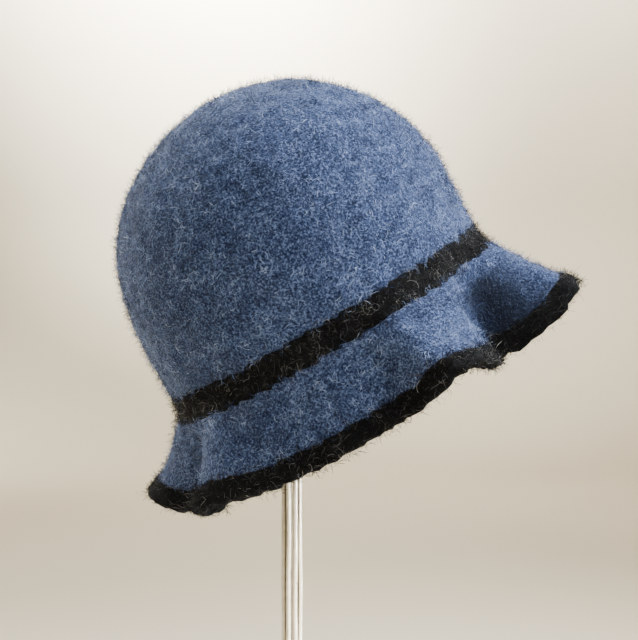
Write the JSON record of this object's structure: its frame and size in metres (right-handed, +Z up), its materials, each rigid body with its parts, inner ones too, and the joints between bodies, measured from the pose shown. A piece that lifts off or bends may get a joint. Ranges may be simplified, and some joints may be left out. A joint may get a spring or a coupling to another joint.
{
  "type": "felt hat on a display stand",
  "caption": "Tilted knitted-and-felted cloche hat with a dark stripe and a wavy dark-edged brim, hung on a slim stand of white wires with a round base.",
  "frame": {"origin": "on the stand's axis, at the underside of its base", "axes": "+Z up along the stand, +X to the viewer's right, towards the hat's raised side, +Y away from the viewer"},
  "size_m": [0.2495, 0.2529, 0.3836],
  "materials": {
    "blue_felt": "heathered denim-blue felted wool, thick and fuzzy",
    "black_felt": "black felted wool with stray pale hairs",
    "painted_metal": "cream-white gloss paint with a few small chips"
  },
  "bodies": {
    "root": {"crown": "blue_felt", "band": "black_felt", "brim": "blue_felt", "brim_edge": "black_felt", "stand_base": "painted_metal", "stand_head": "painted_metal", "wire_1": "painted_metal", "wire_2": "painted_metal", "wire_3": "painted_metal", "wire_4": "painted_metal", "wire_5": "painted_metal", "wire_6": "painted_metal", "wire_7": "painted_metal", "wire_8": "painted_metal"}
  },
  "joints": []
}
